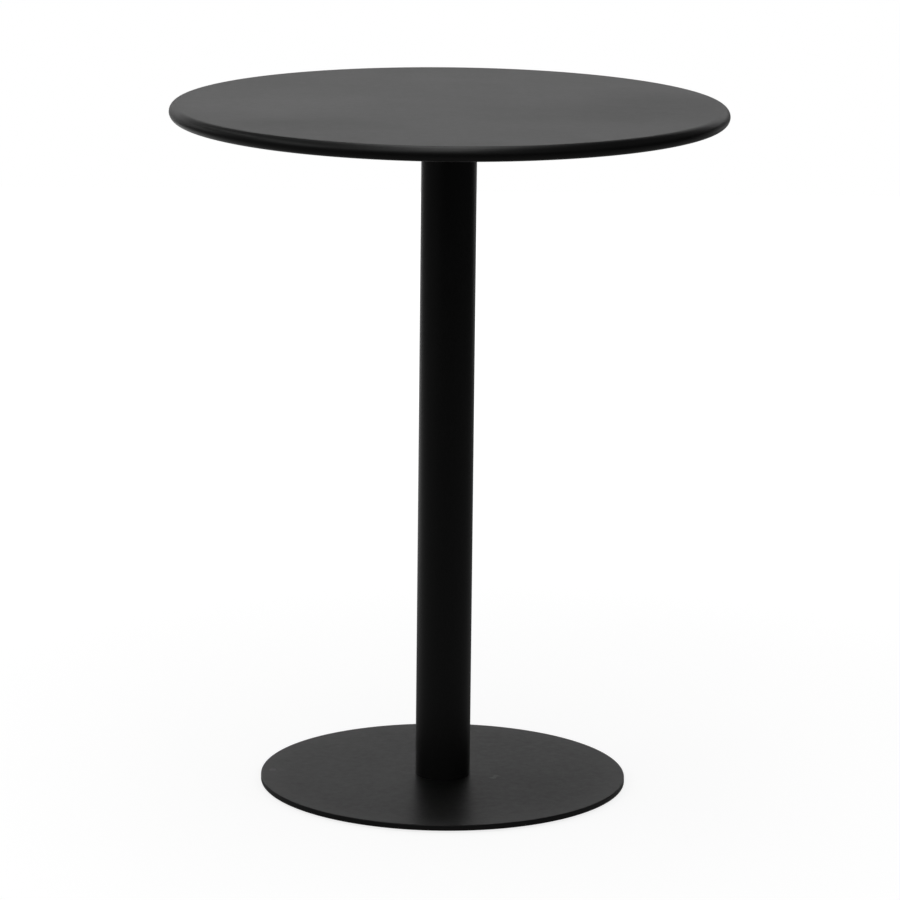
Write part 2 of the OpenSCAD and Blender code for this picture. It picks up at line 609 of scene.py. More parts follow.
class Recipe:
    """The nodes of a material or a world, with short calls to add and join them."""

    def __init__(self, owner: Finish | bpy.types.World) -> None:
        """Starts an empty node tree.

        Args:
            owner: The new material or world.
        """
        owner.use_nodes = True
        self.owner = owner
        self.nodes = owner.node_tree.nodes
        self.links = owner.node_tree.links
        self.nodes.clear()

    @classmethod
    def material(cls, name: str) -> "Recipe":
        """Starts a new material."""
        return cls(bpy.data.materials.new(name))

    @cached_property
    def place(self) -> Socket:
        """The place on the piece, in its own space."""
        return self.nodes.new("ShaderNodeTexCoord").outputs["Object"]

    @cached_property
    def upward(self) -> Socket:
        """1 on faces that look up, falling to 0 on those steeper than 45 degrees.

        Returns:
            The mask's socket.
        """
        geometry = self.add("NewGeometry")
        normal = self.add("SeparateXYZ", {0: geometry.outputs["Normal"]})
        return self.spread(normal.outputs["Z"], math.cos(math.pi / 4), 1.0)

    def add(
        self, kind: str, inputs: dict[str | int, object] | None = None, **settings: object
    ) -> bpy.types.Node:
        """Adds a node.

        Args:
            kind: The node's type, without its ShaderNode prefix.
            inputs: A value or a socket for each named or numbered input.
            settings: The node's own settings.

        Returns:
            The node.
        """
        node = self.nodes.new("ShaderNode" + kind)
        for name, value in settings.items():
            setattr(node, name, value)
        for name, value in (inputs or {}).items():
            socket = node.inputs[name]
            if isinstance(value, bpy.types.NodeSocket):
                self.links.new(value, socket)
            else:
                socket.default_value = value
        return node

    def noise(self, pattern: Pattern, at: Socket | None = None) -> Socket:
        """Draws a noise pattern.

        Args:
            pattern: The pattern.
            at: The place to read it at, if not the plain object coordinates.

        Returns:
            The pattern's socket.
        """
        inputs = {
            "Vector": at or self.place,
            "Scale": pattern.scale,
            "Detail": pattern.detail,
            "Roughness": pattern.rough,
        }
        return self.add("TexNoise", inputs).outputs["Fac"]

    def math(self, operation: str, first: Value, second: Value = 0.0, clamp: bool = False) -> Socket:
        """One sum on two values or sockets."""
        node = self.add("Math", {0: first, 1: second}, operation=operation, use_clamp=clamp)
        return node.outputs["Value"]

    def spread(
        self, value: Value, low: float, high: float, to_low: float = 0.0, to_high: float = 1.0
    ) -> Socket:
        """Maps a range of a value smoothly to another range, and stays inside it.

        Args:
            value: The value or socket.
            low: Where its range starts.
            high: Where its range ends.
            to_low: What low becomes.
            to_high: What high becomes.

        Returns:
            The socket of the result.
        """
        inputs = {"Value": value, 1: low, 2: high, 3: to_low, 4: to_high}
        node = self.add("MapRange", inputs, interpolation_type="SMOOTHSTEP")
        return node.outputs["Result"]

    def blend(self, amount: Value, first: Value, second: Value) -> Socket:
        """Mixes two colours by an amount from 0 to 1."""
        inputs = {0: amount, 6: first, 7: second}
        return self.add("Mix", inputs, data_type="RGBA").outputs[2]

    def radius(self) -> Socket:
        """The distance from the column's axis."""
        flat = self.add("VectorMath", {0: self.place, 1: (1.0, 1.0, 0.0)}, operation="MULTIPLY")
        return self.add("VectorMath", {0: flat.outputs[0]}, operation="LENGTH").outputs["Value"]

    def glow(self, strength: Value) -> Socket:
        """A white glow of a radiance."""
        return self.add("Emission", {"Color": grey(1.0), "Strength": strength}).outputs[0]

    def relief(self, height: Value, depth: float, under: Socket | None = None) -> Socket:
        """Turns a height pattern into a surface relief.

        Args:
            height: The pattern, from 0 to 1.
            depth: The relief's depth, in metres.
            under: The relief that it lies on.

        Returns:
            The normal's socket.
        """
        inputs = {"Height": height, "Distance": depth, "Strength": 1.0}
        if under is not None:
            inputs["Normal"] = under
        return self.add("Bump", inputs).outputs["Normal"]

    def close(self, **inputs: object) -> Finish:
        """Adds the surface shader and the output.

        Args:
            inputs: The shader's inputs, with _ for each space in a name.

        Returns:
            The finished material.
        """
        named = {name.replace("_", " "): value for name, value in inputs.items()}
        shader = self.add("BsdfPrincipled", named)
        self.add("OutputMaterial", {"Surface": shader.outputs["BSDF"]})
        return self.owner


def grey(value: float, warmth: float = 0.0) -> Colour:
    """A grey of a linear value, a little warmer or cooler."""
    return (value * (1 + warmth), value, value * (1 - warmth), 1.0)


@dataclass(frozen=True)
class Scuff:
    """A small light rub in the coat: where it is, which way it runs and how big it is."""

    place: Vector
    turn: float
    length: float
    width: float
    curl: float                 # how far it bends to each side


@dataclass(frozen=True)
class Patch:
    """A streaky area of the coat: wiped duller or clearer, or lightened with a painted sheen."""

    place: Vector
    half_length: float
    half_depth: float
    duller: float = 0.0         # what it adds to the roughness
    painted_sheen: float = 0.0           # how much lighter its painted sheen makes the grey


@dataclass(frozen=True)
class PowderCoat:
    """Satin black powder coat: fine orange peel, faint clouding, wiped patches, painted sheen and
    rubs.
    """

    name: str
    base: float = 0.003         # linear grey of the pigment
    base_drift: float = 0.2     # share by which the clouds change it
    gloss_loss: float = 0.38    # roughness
    clouding: float = 0.026     # how much the roughness drifts over the surface
    wiping: float = 1.0         # strength of the small wipes beside that of the clouds
    clouds: Pattern = Pattern(12.0, 7.0, 0.68)
    wipes: Pattern = Pattern(108.0, 5.0, 0.7)
    peel: Pattern = Pattern(420.0, rough=0.5)
    peel_depth: float = 0.042 * MM
    grain: Pattern = Pattern(1500.0)
    grain_depth: float = 0.012 * MM
    patches: tuple[Patch, ...] = ()
    patch_fade: Ramp = (0.25, 1.1, 1.0, 0.0)        # from a patch's middle to its edge
    streaks: Pattern = Pattern(30.0, 6.0, 0.7)
    streak_stretch: tuple[float, float, float] = (0.45, 1.0, 1.0)
    streak_ramp: Ramp = (0.3, 0.7, 0.6, 1.4)        # what the streaks make of a patch
    painted_sheen_edge: float = 0.0      # outer radius of a disc with a painted sheen, a lighter band, along its edge
    painted_sheen_width: float = 40 * MM
    # how much lighter the painted sheen along the edge makes the grey
    painted_sheen: float = 0.02
    painted_sheen_ramp: Ramp = (0.25, 0.7, 0.3, 1.0)         # what the wipes leave of the painted sheen
    scuffs: tuple[Scuff, ...] = ()
    scuff: float = 0.048        # how much lighter a rub is
    scuff_wander: Pattern = Pattern(260.0, rough=0.5)
    scuff_reach: float = 0.5 * MM                   # above and below its place
    scuff_ends: tuple[float, float] = (0.35, 0.55)  # where it fades, as shares of its length
    scuff_sides: tuple[float, float] = (0.25, 0.6)  # and of its width

    def rub(self, recipe: Recipe, scuff: Scuff, wander: Socket) -> Socket:
        """Draws one rub, which curls once along its length.

        Args:
            recipe: The material under way.
            scuff: The rub.
            wander: The pattern that makes its sides uneven.

        Returns:
            A mask that is 1 in the middle of the rub.
        """

        def fade(distance: Socket, size: float, shares: tuple[float, float]) -> Socket:
            """Falls from 1 to 0 between two shares of a size."""
            start, end = (size * share for share in shares)
            return recipe.spread(recipe.math("ABSOLUTE", distance), start, end, 1.0, 0.0)

        inputs = {"Vector": recipe.place, "Location": scuff.place, "Rotation": (0, 0, scuff.turn)}
        turned = recipe.add("Mapping", inputs, vector_type="TEXTURE")
        part = recipe.add("SeparateXYZ", {0: turned.outputs["Vector"]})
        along, across, above = (part.outputs[axis] for axis in "XYZ")
        level = recipe.math("LESS_THAN", recipe.math("ABSOLUTE", above), self.scuff_reach)
        bend = recipe.math("SINE", recipe.math("MULTIPLY", along, 2 * math.pi / scuff.length))
        across = recipe.math("SUBTRACT", across, recipe.math("MULTIPLY", bend, scuff.curl))
        drift = recipe.math("MULTIPLY", recipe.math("SUBTRACT", wander, 0.5), scuff.width)
        across = recipe.math("ADD", across, drift)
        ends = fade(along, scuff.length, self.scuff_ends)
        sides = fade(across, scuff.width, self.scuff_sides)
        return recipe.math("MULTIPLY", recipe.math("MULTIPLY", ends, sides), level)

    def scuff_mask(self, recipe: Recipe) -> Socket | None:
        """Draws the rubs.

        Args:
            recipe: The material under way.

        Returns:
            A mask that is 0 on sound coat, or None without rubs.
        """
        if not self.scuffs:
            return None
        wander = recipe.noise(self.scuff_wander)
        total, *others = [self.rub(recipe, scuff, wander) for scuff in self.scuffs]
        for mark in others:
            total = recipe.math("ADD", total, mark, clamp=True)
        return total

    def patch_masks(self, recipe: Recipe) -> list[Socket]:
        """Draws the patches, with ragged edges and streaks along X.

        Args:
            recipe: The material under way.

        Returns:
            One mask for each patch.
        """
        if not self.patches:
            return []
        stretched = recipe.add("Mapping", {"Vector": recipe.place, "Scale": self.streak_stretch})
        streaks = recipe.noise(self.streaks, stretched.outputs["Vector"])
        uneven = recipe.math("MULTIPLY", recipe.upward, recipe.spread(streaks, *self.streak_ramp))
        ragged = recipe.math("SUBTRACT", streaks, 0.5)
        masks = []
        for patch in self.patches:
            size = (patch.half_length, patch.half_depth, 1.0)
            inputs = {"Vector": recipe.place, "Location": patch.place, "Scale": size}
            local = recipe.add("Mapping", inputs, vector_type="TEXTURE").outputs["Vector"]
            out = recipe.add("VectorMath", {0: local}, operation="LENGTH").outputs["Value"]
            inside = recipe.spread(recipe.math("ADD", out, ragged), *self.patch_fade)
            masks.append(recipe.math("MULTIPLY", inside, uneven))
        return masks

    def edge_painted_sheen(self, recipe: Recipe, wipes: Socket) -> Socket:
        """Draws the painted sheen: a lighter grey along a disc's edge, in place of the light that the
        coat's built-up edge reflects.

        Args:
            recipe: The material under way.
            wipes: The pattern of the small wipes.

        Returns:
            The grey's socket.
        """
        edge = recipe.spread(recipe.radius(), self.painted_sheen_edge - self.painted_sheen_width, self.painted_sheen_edge)
        edge = recipe.math("MULTIPLY", edge, recipe.upward)
        painted_band = recipe.math("MULTIPLY", edge, recipe.spread(wipes, *self.painted_sheen_ramp))
        return recipe.math("MULTIPLY", painted_band, self.painted_sheen)

    def make(self) -> Finish:
        """Mixes the finish.

        Returns:
            The material.
        """
        recipe = Recipe.material(self.name)
        clouds = recipe.noise(self.clouds)
        wipes = recipe.noise(self.wipes)
        wiped = recipe.math("MULTIPLY", recipe.math("SUBTRACT", wipes, 0.5), self.wiping)
        drift = recipe.math("ADD", recipe.math("SUBTRACT", clouds, 0.5), wiped)
        rough = recipe.math("ADD", recipe.math("MULTIPLY", drift, 2 * self.clouding), self.gloss_loss)
        darkest = (1 - self.base_drift) * self.base
        lightest = (1 + self.base_drift) * self.base
        shade = recipe.spread(clouds, 0.0, 1.0, darkest, lightest)
        # painted sheen: a lighter band of grey along the disc's edge
        if self.painted_sheen_edge:
            shade = recipe.math("ADD", shade, self.edge_painted_sheen(recipe, wipes))
        # patches change the roughness, and some lighten the grey with painted sheen
        for patch, mask in zip(self.patches, self.patch_masks(recipe)):
            rough = recipe.math("ADD", rough, recipe.math("MULTIPLY", mask, patch.duller))
            shade = recipe.math("ADD", shade, recipe.math("MULTIPLY", mask, patch.painted_sheen))
        mask = self.scuff_mask(recipe)
        if mask is not None:
            shade = recipe.math("ADD", shade, recipe.math("MULTIPLY", mask, self.scuff))
        colour = recipe.add("CombineColor", {"Red": shade, "Green": shade, "Blue": shade})
        relief = recipe.relief(recipe.noise(self.peel), self.peel_depth)
        relief = recipe.relief(recipe.noise(self.grain), self.grain_depth, relief)
        return recipe.close(Base_Color=colour.outputs["Color"], Roughness=rough, Normal=relief)


@dataclass(frozen=True)
class SmallSteel:
    """Plated or blackened steel of small parts: a cloudy metal with a fine grain."""

    name: str
    colour: Colour
    bloom: Colour               # where the clouds are thick
    metal: float
    roughness: float
    clouding: float             # how much the roughness drifts
    clouds: Pattern
    bloom_range: tuple[float, float]
    grain: Pattern
    grain_depth: float

    def make(self) -> Finish:
        """Mixes the finish.

        Returns:
            The material.
        """
        recipe = Recipe.material(self.name)
        clouds = recipe.noise(self.clouds)
        tint = recipe.blend(recipe.spread(clouds, *self.bloom_range), self.colour, self.bloom)
        drift = recipe.math("MULTIPLY", clouds, self.clouding)
        rough = recipe.math("ADD", drift, self.roughness - self.clouding / 2)
        relief = recipe.relief(recipe.noise(self.grain), self.grain_depth)
        return recipe.close(Base_Color=tint, Metallic=self.metal, Roughness=rough, Normal=relief)


ZINC_PLATE = SmallSteel(
    "zinc_plate",
    colour=(0.56, 0.58, 0.61, 1.0),
    bloom=(0.50, 0.49, 0.44, 1.0),
    metal=1.0,
    roughness=0.34,
    clouding=0.22,
    clouds=Pattern(260.0, 4.0),
    bloom_range=(0.4, 0.7),
    grain=Pattern(3200.0),
    grain_depth=0.01 * MM,
)
BLACK_OXIDE = SmallSteel(
    "black_oxide",
    colour=(0.018, 0.018, 0.020, 1.0),
    bloom=(0.075, 0.075, 0.080, 1.0),
    metal=0.9,
    roughness=0.42,
    clouding=0.2,
    clouds=Pattern(420.0, 4.0, 0.65),
    bloom_range=(0.5, 0.75),
    grain=Pattern(2600.0),
    grain_depth=0.015 * MM,
)


@dataclass(frozen=True)
class MouldedNylon:
    """Black nylon: a fine mould texture, scratched pale where it slides."""

    name: str = "nylon"
    body: Colour = grey(0.010)
    scratched: Colour = grey(0.045, 0.02)
    roughness: float = 0.46
    rougher: float = 0.2        # what scratches add to it
    strokes: Pattern = Pattern(170.0, 5.0, 0.7)
    stroke_stretch: tuple[float, float, float] = (1.0, 9.0, 1.0)
    stroke_turn: float = 0.6
    stroke_range: tuple[float, float] = (0.56, 0.72)
    texture: Pattern = Pattern(2200.0)
    texture_depth: float = 0.02 * MM

    def make(self) -> Finish:
        """Mixes the finish.

        Returns:
            The material.
        """
        recipe = Recipe.material(self.name)
        turn = (0, 0, self.stroke_turn)
        inputs = {"Vector": recipe.place, "Scale": self.stroke_stretch, "Rotation": turn}
        stretched = recipe.add("Mapping", inputs).outputs["Vector"]
        worn = recipe.spread(recipe.noise(self.strokes, stretched), *self.stroke_range)
        tint = recipe.blend(worn, self.body, self.scratched)
        rough = recipe.math("ADD", recipe.math("MULTIPLY", worn, self.rougher), self.roughness)
        relief = recipe.relief(recipe.noise(self.texture), self.texture_depth)
        return recipe.close(Base_Color=tint, Roughness=rough, Normal=relief)


# ---- sub-assemblies


def hand_over(piece: Piece, material: Finish, slot: str, *nodes: str) -> None:
    """Dresses a finished piece and puts it in the place of its CAD nodes.

    Args:
        piece: The finished piece.
        material: Its finish.
        slot: The name of its material slot, which is not used.
        nodes: The CAD nodes that it stands for.
    """
    piece.data.materials.clear()
    piece.data.materials.append(material)
    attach(piece, BODY)
    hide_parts(*nodes)
    LOG.info("%s: %d faces, in place of %s", piece.name, len(piece.data.polygons), nodes)


def dress_node(node: str, material: Finish) -> None:
    """Gives a CAD node that keeps its own shape a finish.

    Args:
        node: The node's name.
        material: Its finish.
    """
    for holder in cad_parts[node].material_slots:
        holder.material = material
    LOG.info("%s: CAD solid, dressed", node)


@dataclass
class RolledTop:
    """The pressed sheet whose rim rolls down and back in to a flat lip."""

    radius: float
    top_z: float
    rim_z: float
    sheet: float
    lip_width: float = 7 * MM
    lip_round: float = 0.6 * MM
    lip_steps: int = 3
    sides: int = 288
    roll_steps: int = 14
    rings: tuple[float, ...] = (2 * MM, 40 * MM, 60 * MM, 60 * MM, 60 * MM, 40 * MM)

    @classmethod
    def from_frame(cls) -> "RolledTop":
        """Reads the sizes of the top from the frame.

        Returns:
            The top, ready to build.
        """
        low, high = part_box("tabletop")
        sheet = high.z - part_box("brace_long")[1].z
        return cls(round_radius("tabletop"), high.z, low.z, sheet)

    def build(self) -> Piece:
        """Rolls the rim of a flat disc, turns the lip in and gives the sheet its thickness.

        Returns:
            The finished top.
        """
        roll = (self.top_z - self.rim_z) / 2
        top = Workpiece.cylinder("top_shell", self.radius, self.rim_z, self.top_z, self.sides)
        top.select(Level.EDGE, lambda edge: abs(edge.verts[0].co.z - edge.verts[1].co.z) < TINY)
        top.bevel(roll, self.roll_steps).merge()
        top.select_cap(1.0).inset(*self.rings)
        top.select_cap(-1.0).inset(self.lip_width).delete_faces()
        top.wall(self.sheet)
        lip_r = self.radius - roll - self.lip_width
        for height in (self.rim_z, self.rim_z + self.sheet):
            top.select_ring(height, lip_r).bevel(self.lip_round, self.lip_steps)
        return top.finish(Crease.ROLLED)


@dataclass
class BraceCross:
    """The flat tubes under the sheet, stitched to it with short beads of weld."""

    wall: float = 1.5 * MM
    corner: float = 1.5 * MM
    corner_steps: int = 4
    stitch: float = 20 * MM
    bead_sides: int = 12
    bead_r: float = 2.3 * MM
    bead_sink: float = 0.9 * MM  # from the corner to the bead's axis, along both faces
    ripple: float = 0.22 * MM   # depth of the ripples
    ripple_pitch: float = 0.9 * MM
    stitches: int = 4           # on each side of each arm of the cross
    first: float = 110 * MM     # from the axis to the middle of the innermost

    def tube(self, node: str) -> Piece:
        """Makes one flat tube, open at both ends.

        Args:
            node: The CAD node that it stands for.

        Returns:
            The finished tube.
        """
        low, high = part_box(node)
        size = high - low
        axis = 0 if size.x > size.y else 1
        tube = Workpiece.block(node + "_tube", low, high)
        tube.select_along(axis, size[axis] / 2).bevel(self.corner, self.corner_steps)
        tube.select(Level.FACE, lambda face: abs(face.normal[axis]) > STRAIGHT).delete_faces()
        return tube.wall(self.wall).finish(Crease.PRESSED)

    def bead(self) -> Piece:
        """Makes one stitch along X, whose corner is at the origin, under and beside it.

        Returns:
            The bead.
        """
        rings = round(self.stitch / self.ripple_pitch)
        put_tools_down()
        bpy.ops.mesh.primitive_cylinder_add(
            vertices=self.bead_sides,
            radius=self.bead_r,
            depth=self.stitch,
            location=(0.0, self.bead_sink, -self.bead_sink),
            rotation=(0.0, math.pi / 2, 0.0),
        )
        bead = Workpiece("bead").select_along(0, self.stitch / 2)
        bpy.ops.mesh.subdivide(number_cuts=rings - 1)
        step = self.stitch / rings
        for turn in range(rings + 1):
            from_end = min(turn, rings - turn) * step
            taper = math.sqrt(min(1.0, (from_end + step / 2) / (2 * self.bead_r)))
            dip = self.ripple / self.bead_r if turn % 2 else 0.0
            here = turn * step - self.stitch / 2
            bead.select(Level.VERT, lambda vert: abs(vert.co.x - here) < step / 4)
            bead.scale(taper - dip, Vector((here, self.bead_sink, -self.bead_sink)))
        return bead.finish(Crease.WELDED)

    def sheet_stitches(self) -> list[Matrix]:
        """The places of the stitches between the tubes and the sheet.

        Returns:
            One transform for each stitch.
        """
        _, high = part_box("brace_long")
        pitch = (high.x - self.stitch / 2 - self.first) / (self.stitches - 1)
        places = []
        for quarter in range(4):
            arm = Matrix.Rotation(quarter * math.pi / 2, 4, "Z")
            for side in (1.0, -1.0):
                turn = Matrix.Rotation(0.0 if side > 0 else math.pi, 4, "Z")
                for i in range(self.stitches):
                    middle = Vector((self.first + i * pitch, side * high.y, high.z))
                    places.append(arm @ Matrix.Translation(middle) @ turn)
        return places

    def plate_stitches(self) -> list[Matrix]:
        """The places of the stitches between the mounting plate's edges and the tubes.

        Returns:
            One transform for each stitch.
        """
        _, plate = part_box("mount_plate")
        places = []
        for quarter in range(4):
            side = Matrix.Rotation(quarter * math.pi / 2, 4, "Z")
            places.append(side @ Matrix.Translation((0.0, plate.y, plate.z)))
        return places

    def build(self, coat: Finish) -> None:
        """Makes the three tubes and all the stitches.

        Args:
            coat: The finish of the frame.
        """
        for node in ("brace_long", "brace_front", "brace_back"):
            hand_over(self.tube(node), coat, "frame_coat", node)
        stitches = lay_out(self.bead(), self.sheet_stitches(), "brace_stitches")
        hand_over(stitches, coat, "frame_coat", "brace_welds")
        stitches = lay_out(self.bead(), self.plate_stitches(), "plate_stitches")
        hand_over(stitches, coat, "frame_coat", "mount_plate_welds")


@dataclass
class BoltedJoint:
    """The two square plates between top and column, and the four bolts that join them."""

    corner: float = 12 * MM
    corner_steps: int = 10
    edge: float = 0.5 * MM
    edge_steps: int = 3
    hole_r: float = 4.5 * MM
    hole_sides: int = 40
    sides: int = 64                     # of all that is turned
    head_flats: float = 13 * MM
    head_chamfer: float = 0.5 * MM
    chamfer_slope: float = 1.9          # how far the cone widens for each unit it rises
    face: float = 0.4 * MM              # height of the washer face under the head
    face_inset: float = 0.2 * MM
    shank_r: float = 3.95 * MM
    tip: float = 0.6 * MM               # chamfer of the shank's end
    washer_r: float = 8 * MM
    washer_bore: float = 4.2 * MM
    washer_edge: float = 0.2 * MM
    washer_steps: int = 2
    spring_r: float = 7.4 * MM
    spring_gap: float = 1.2 * MM
    spring_slant: float = math.radians(30.0)
    turns: tuple[float, ...] = (8.0, 47.0, 21.0, 33.0)  # how each bolt was left, in degrees

    def half_spacing(self) -> float:
        """Distance of the bolts from both middle planes."""
        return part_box("flange_washers")[1].x - self.washer_r

    def plate(self, node: str, name: str) -> Piece:
        """Makes one square plate with rounded corners, eased edges and four holes.

        Args:
            node: The CAD node that it stands for.
            name: The piece's name.

        Returns:
            The finished plate.
        """
        low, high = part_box(node)
        plate = Workpiece.block(name, low, high).select_along(2, TINY)
        plate.bevel(self.corner, self.corner_steps)
        for height in (low.z, high.z):
            plate.select_ring(height).bevel(self.edge, self.edge_steps)
        through = (low.z - MM, high.z + MM)
        drill = Workpiece.cylinder("drill", self.hole_r, *through, self.hole_sides)
        return plate.cut(drill.repeat(corner_places(self.half_spacing()))).finish(Crease.PRESSED)

    def bolt(self) -> Piece:
        """Makes one hexagon bolt on the axis: a chamfered head, a washer face and a shank.

        Returns:
            The finished bolt.
        """
        low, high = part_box("flange_bolts")
        head_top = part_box("spring_washers")[0].z
        face_z = head_top - self.face
        flat_r = self.head_flats / 2
        corner_r = corner_radius(self.head_flats)
        head = Workpiece.cylinder("bolt_head", corner_r, low.z, face_z, HEXAGON)
        cone_r = flat_r - self.head_chamfer
        wide_r = cone_r + self.chamfer_slope * (face_z - low.z)
        dome = Workpiece.cone("dome", cone_r, wide_r, low.z, face_z, self.sides)
        head.cut(dome, keep_common=True)
        face_r = flat_r - self.face_inset
        shank = Workpiece.cylinder("bolt_shank", face_r, face_z, head_top, self.sides)
        shank.select_cap(1.0).inset(face_r - self.shank_r)
        shank.extrude(high.z - head_top - self.tip).inset(self.tip).move(z=self.tip)
        head.obj = join((head.obj, shank.obj), "bolt")
        return head.finish(Crease.TURNED)

    def washer(self) -> Piece:
        """Makes one plain washer on the axis, with a rolled outer edge.

        Returns:
            The finished washer.
        """
        low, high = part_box("flange_washers")
        washer = Workpiece.cylinder("washer", self.washer_r, low.z, high.z, self.sides)
        for height in (low.z, high.z):
            washer.select_ring(height, self.washer_r).bevel(self.washer_edge, self.washer_steps)
        through = (low.z - MM, high.z + MM)
        drill = Workpiece.cylinder("drill", self.washer_bore, *through, self.sides)
        return washer.cut(drill).finish(Crease.TURNED)

    def spring_washer(self) -> Piece:
        """Makes one spring washer: a square section spun round the axis, then split at a slant.

        Returns:
            The finished spring washer.
        """
        low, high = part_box("spring_washers")
        height = high.z - low.z
        width = self.spring_r - self.washer_bore
        centre = Vector((self.washer_bore + width / 2, 0.0, (low.z + high.z) / 2))
        put_tools_down()
        bpy.ops.mesh.primitive_plane_add(
            size=height, location=centre, rotation=(math.pi / 2, 0.0, 0.0)
        )
        ring = Workpiece("spring_washer")
        ring.select(Level.EDGE, lambda edge: True)
        bpy.ops.transform.resize(value=(width / height, 1.0, 1.0), center_override=centre)
        bpy.ops.mesh.delete(type="ONLY_FACE")
        bpy.ops.mesh.spin(
            steps=self.sides, angle=2 * math.pi, center=(0.0, 0.0, 0.0), axis=(0.0, 0.0, 1.0)
        )
        ring.merge().face_outwards()
        reach = Vector((width, self.spring_gap / 2, height))
        saw = Workpiece.block("saw", centre - reach, centre + reach)
        slant = Matrix.Rotation(self.spring_slant, 4, "X")
        saw.obj.data.transform(Matrix.Translation(centre) @ slant @ Matrix.Translation(-centre))
        return ring.cut(saw).finish(Crease.TURNED)

    def build(self, coat: Finish, zinc: Finish) -> None:
        """Makes the plates and the fasteners.

        Args:
            coat: The finish of the frame.
            zinc: The finish of the fasteners.
        """
        hand_over(self.plate("mount_plate", "mounting_plate"), coat, "frame_coat", "mount_plate")
        hand_over(self.plate("column_flange", "flange_plate"), coat, "frame_coat", "column_flange")
        for make, name, node in (
            (self.bolt, "hexagon_bolts", "flange_bolts"),
            (self.washer, "plain_washers", "flange_washers"),
            (self.spring_washer, "split_washers", "spring_washers"),
        ):
            placed = lay_out(make(), corner_places(self.half_spacing(), self.turns), name)
            hand_over(placed, zinc, "zinc_plate", node)
        dress_node("weld_nuts", coat)


@dataclass
class Column:
    """The tube and the bead of weld under its flange."""

    wall: float = 2 * MM
    sides: int = 160
    rows: int = 24              # of vertices, between its two ends
    bead_r: float = 2.7 * MM
    bead_sides: int = 14
    bead_sink: float = 1.1 * MM
    ripples: int = 170
    ripple: float = 0.2 * MM    # their depth

    def tube(self) -> Piece:
        """Makes the tube, with its rows of vertices all the way up.

        Returns:
            The finished tube.
        """
        low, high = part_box("column_tube")
        radius = round_radius("column_tube")
        tube = Workpiece.cylinder("column", radius, low.z, high.z, self.sides, filled=False)
        tube.select_along(2, TINY)
        bpy.ops.mesh.subdivide(number_cuts=self.rows)
        return tube.wall(self.wall).finish(Crease.ROLLED)

    def bead(self) -> Piece:
        """Makes the rippled bead round the tube.

        Returns:
            The finished bead.
        """
        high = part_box("column_tube")[1]
        put_tools_down()
        bpy.ops.mesh.primitive_torus_add(
            major_radius=round_radius("column_tube") + self.bead_sink,
            minor_radius=self.bead_r,
            major_segments=2 * self.ripples,
            minor_segments=self.bead_sides,
            location=(0.0, 0.0, high.z - self.bead_sink),
        )
        bead = Workpiece("column_bead")
        step = math.pi / self.ripples

        def on_low_ring(vert: bmesh.types.BMVert) -> bool:
            """Whether a vertex lies between two ripples."""
            turn = math.atan2(vert.co.y, vert.co.x) / step
            return round(turn) % 2 == 1

        bead.select(Level.VERT, on_low_ring)
        bpy.ops.transform.shrink_fatten(value=-self.ripple)
        return bead.finish(Crease.WELDED)

    def build(self, coat: Finish, frame_coat: Finish) -> None:
        """Makes the tube and its bead, and dresses what is welded in its foot.

        Args:
            coat: The finish of the tube.
            frame_coat: The finish of the welds and the foot disc.
        """
        hand_over(self.tube(), coat, "column_coat", "column_tube")
        hand_over(self.bead(), frame_coat, "frame_coat", "flange_weld")
        dress_node("foot_disc", frame_coat)
        dress_node("foot_weld", frame_coat)


